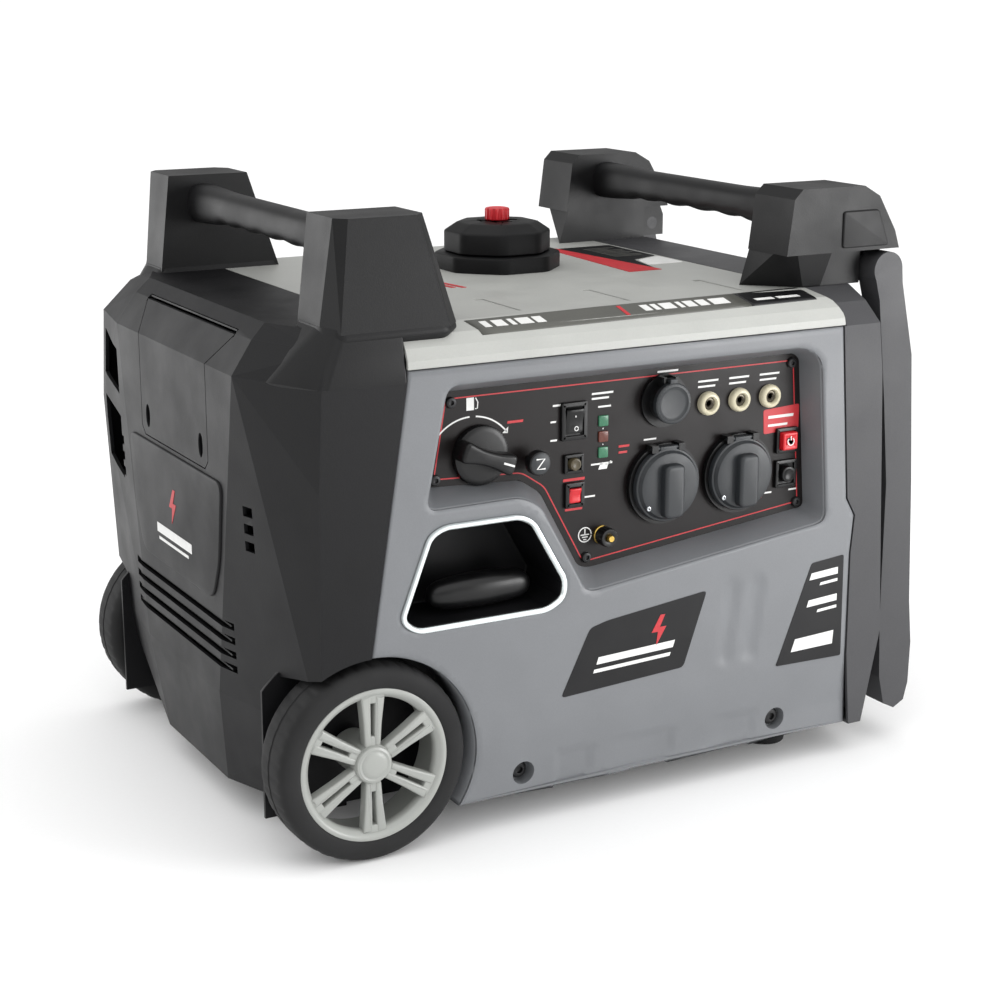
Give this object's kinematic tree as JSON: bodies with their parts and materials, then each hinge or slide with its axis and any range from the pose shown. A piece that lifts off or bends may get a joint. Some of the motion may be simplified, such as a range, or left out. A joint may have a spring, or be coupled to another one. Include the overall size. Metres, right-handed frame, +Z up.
{
  "type": "portable generator",
  "caption": "Enclosed portable inverter generator on two wheels, with carrying grips, a fold-out tow handle and a recessed control panel with outlets.",
  "frame": {"origin": "centre of the bounding box at ground level", "axes": "+X towards the exhaust end, -X towards the wheels, -Y towards the control panel, +Z up"},
  "size_m": [0.62, 0.442, 0.5],
  "materials": {
    "tray_steel": "powder coated",
    "shell_grey": "fine moulded texture",
    "cover_grey": "smooth satin",
    "shell_black": "fine moulded texture",
    "handle_black": "moulded texture",
    "zinc_steel": "zinc plated",
    "tyre_rubber": "solid rubber",
    "rim_silver": "silver moulded plastic",
    "foot_rubber": "moulded rubber",
    "panel_film": "printed film",
    "black_screw": "black oxide",
    "control_black": "satin",
    "lens_amber": "clear lens",
    "control_red": "glossy",
    "lens_green": "clear lens",
    "brass_terminal": "nickel plated brass",
    "lid_grey": "satin",
    "pocket_black": "satin",
    "trim_chrome": "bright chrome",
    "starter_rope": "braided nylon",
    "tank_plastic": "blow moulded",
    "cast_aluminium": "die cast",
    "copper_winding": "enamelled copper",
    "muffler_steel": "heat stained steel",
    "plug_ceramic": "glazed ceramic"
  },
  "bodies": {
    "root": {"base_tray": "tray_steel", "front_shell": "shell_grey", "rear_shell": "shell_grey", "top_cover": "cover_grey", "left_end_shell": "shell_black", "right_end_shell": "shell_black", "handle_towers": "handle_black", "carry_grips": "handle_black", "tow_pivots": "zinc_steel", "axle": "zinc_steel", "rubber_feet": "foot_rubber", "panel_plate": "panel_film", "screws": "black_screw", "switch_bezels": "control_black", "indicator_lamps": "lens_green", "ground_stud": "brass_terminal", "dc_socket": "control_black", "parallel_terminals": "brass_terminal", "ac_outlets": "control_black", "recoil_pocket": "pocket_black", "pocket_trim": "trim_chrome", "recoil_housing": "tray_steel", "fuel_tank": "tank_plastic", "filler_collar": "control_black", "engine_block": "cast_aluminium", "stator": "copper_winding", "muffler": "muffler_steel", "air_filter_box": "tank_plastic", "carburettor": "cast_aluminium", "spark_plug": "plug_ceramic", "oil_cap": "tank_plastic", "inverter_module": "cast_aluminium"},
    "front_wheel": {"front_tyre": "tyre_rubber", "front_rim": "rim_silver", "front_hub_cap": "rim_silver"},
    "rear_wheel": {"rear_tyre": "tyre_rubber", "rear_rim": "rim_silver", "rear_hub_cap": "rim_silver"},
    "tow": {"tow_handle": "handle_black"},
    "hatch": {"left_hatch": "shell_black"},
    "door": {"service_door": "shell_grey"},
    "fuel_lid": {"fuel_cap": "control_black"},
    "vent": {"vent_knob": "control_red"},
    "engine_dial": {"engine_knob": "control_black"},
    "choke": {"choke_knob": "control_black"},
    "eco": {"eco_rocker": "control_black"},
    "parallel": {"parallel_rocker": "control_red"},
    "reset": {"reset_button": "lens_amber"},
    "breaker_red": {"red_breaker": "control_red"},
    "breaker_black": {"black_breaker": "control_black"},
    "earth_nut": {"ground_nut": "control_black"},
    "dc_lid": {"dc_cap": "lid_grey"},
    "outlet_lid_left": {"ac_cap_left": "lid_grey"},
    "outlet_lid_right": {"ac_cap_right": "lid_grey"},
    "starter_grip": {"recoil_grip": "pocket_black", "rope_lead": "starter_rope"},
    "starter_reel": {"recoil_reel": "pocket_black", "recoil_rope": "starter_rope"},
    "crank": {"crankshaft": "zinc_steel", "rotor": "cast_aluminium"}
  },
  "joints": [
    {"name": "front_wheel_spin", "type": "hinge", "parent": "root", "child": "front_wheel", "pos_m": [-0.23, -0.199, 0.08], "axis": [0, 1, 0], "continuous": true},
    {"name": "rear_wheel_spin", "type": "hinge", "parent": "root", "child": "rear_wheel", "pos_m": [-0.23, 0.199, 0.08], "axis": [0, 1, 0], "continuous": true},
    {"name": "tow_swing", "type": "hinge", "parent": "root", "child": "tow", "pos_m": [0.264, 0, 0.428], "axis": [0, -1, 0], "range_deg": [0, 90]},
    {"name": "hatch_swing", "type": "hinge", "parent": "root", "child": "hatch", "pos_m": [-0.2845, 0, 0.403], "axis": [0, 1, 0], "range_deg": [0, 70]},
    {"name": "door_swing", "type": "hinge", "parent": "root", "child": "door", "pos_m": [-0.08, 0.2165, 0.0755], "axis": [-1, 0, 0], "range_deg": [0, 90]},
    {"name": "fuel_cap_turn", "type": "hinge", "parent": "root", "child": "fuel_lid", "pos_m": [0.023, 0.046, 0.436], "axis": [0, 0, 1], "range_deg": [0, 90]},
    {"name": "vent_turn", "type": "hinge", "parent": "fuel_lid", "child": "vent", "pos_m": [0.023, 0.046, 0.46], "axis": [0, 0, 1], "range_deg": [0, 90]},
    {"name": "engine_knob_turn", "type": "hinge", "parent": "root", "child": "engine_dial", "pos_m": [-0.124, -0.199, 0.309], "axis": [0, 1, 0], "range_deg": [0, 90]},
    {"name": "choke_pull", "type": "slide", "parent": "root", "child": "choke", "axis": [0, -1, 0], "range_m": [0, 0.012]},
    {"name": "eco_rock", "type": "hinge", "parent": "root", "child": "eco", "pos_m": [-0.039, -0.189, 0.327], "axis": [1, 0, 0], "range_deg": [0, 16]},
    {"name": "parallel_rock", "type": "hinge", "parent": "root", "child": "parallel", "pos_m": [-0.038, -0.189, 0.266], "axis": [1, 0, 0], "range_deg": [0, 16]},
    {"name": "reset_press", "type": "slide", "parent": "root", "child": "reset", "axis": [0, 1, 0], "range_m": [0, 0.002], "stiffness_N_per_m": 400},
    {"name": "red_breaker_press", "type": "slide", "parent": "root", "child": "breaker_red", "axis": [0, 1, 0], "range_m": [0, 0.003], "stiffness_N_per_m": 400},
    {"name": "black_breaker_press", "type": "slide", "parent": "root", "child": "breaker_black", "axis": [0, 1, 0], "range_m": [0, 0.003], "stiffness_N_per_m": 400},
    {"name": "earth_nut_turn", "type": "hinge", "parent": "root", "child": "earth_nut", "pos_m": [-0.011, -0.2, 0.229], "axis": [0, 1, 0], "continuous": true},
    {"name": "dc_lid_swing", "type": "hinge", "parent": "root", "child": "dc_lid", "pos_m": [0.046, -0.203, 0.3535], "axis": [-1, 0, 0], "range_deg": [0, 110], "stiffness_Nm_per_rad": 0.01},
    {"name": "outlet_lid_left_swing", "type": "hinge", "parent": "root", "child": "outlet_lid_left", "pos_m": [0.046, -0.201, 0.297], "axis": [-1, 0, 0], "range_deg": [0, 85], "stiffness_Nm_per_rad": 0.03},
    {"name": "outlet_lid_right_swing", "type": "hinge", "parent": "root", "child": "outlet_lid_right", "pos_m": [0.12, -0.201, 0.297], "axis": [-1, 0, 0], "range_deg": [0, 85], "stiffness_Nm_per_rad": 0.03},
    {"name": "starter_pull", "type": "slide", "parent": "root", "child": "starter_grip", "axis": [0, -1, 0], "range_m": [0, 0.8], "stiffness_N_per_m": 12, "deforming": ["rope_lead"]},
    {"name": "reel_turn", "type": "hinge", "parent": "root", "child": "starter_reel", "pos_m": [-0.076, -0.14, 0.2], "axis": [0, 1, 0], "range_deg": [0, 920]},
    {"name": "crank_spin", "type": "hinge", "parent": "root", "child": "crank", "pos_m": [-0.076, -0.05, 0.2], "axis": [0, 1, 0], "continuous": true}
  ],
  "couplings": [
    {"joint": "reel_turn", "follows": "starter_pull", "rad_per_m": 20}
  ]
}
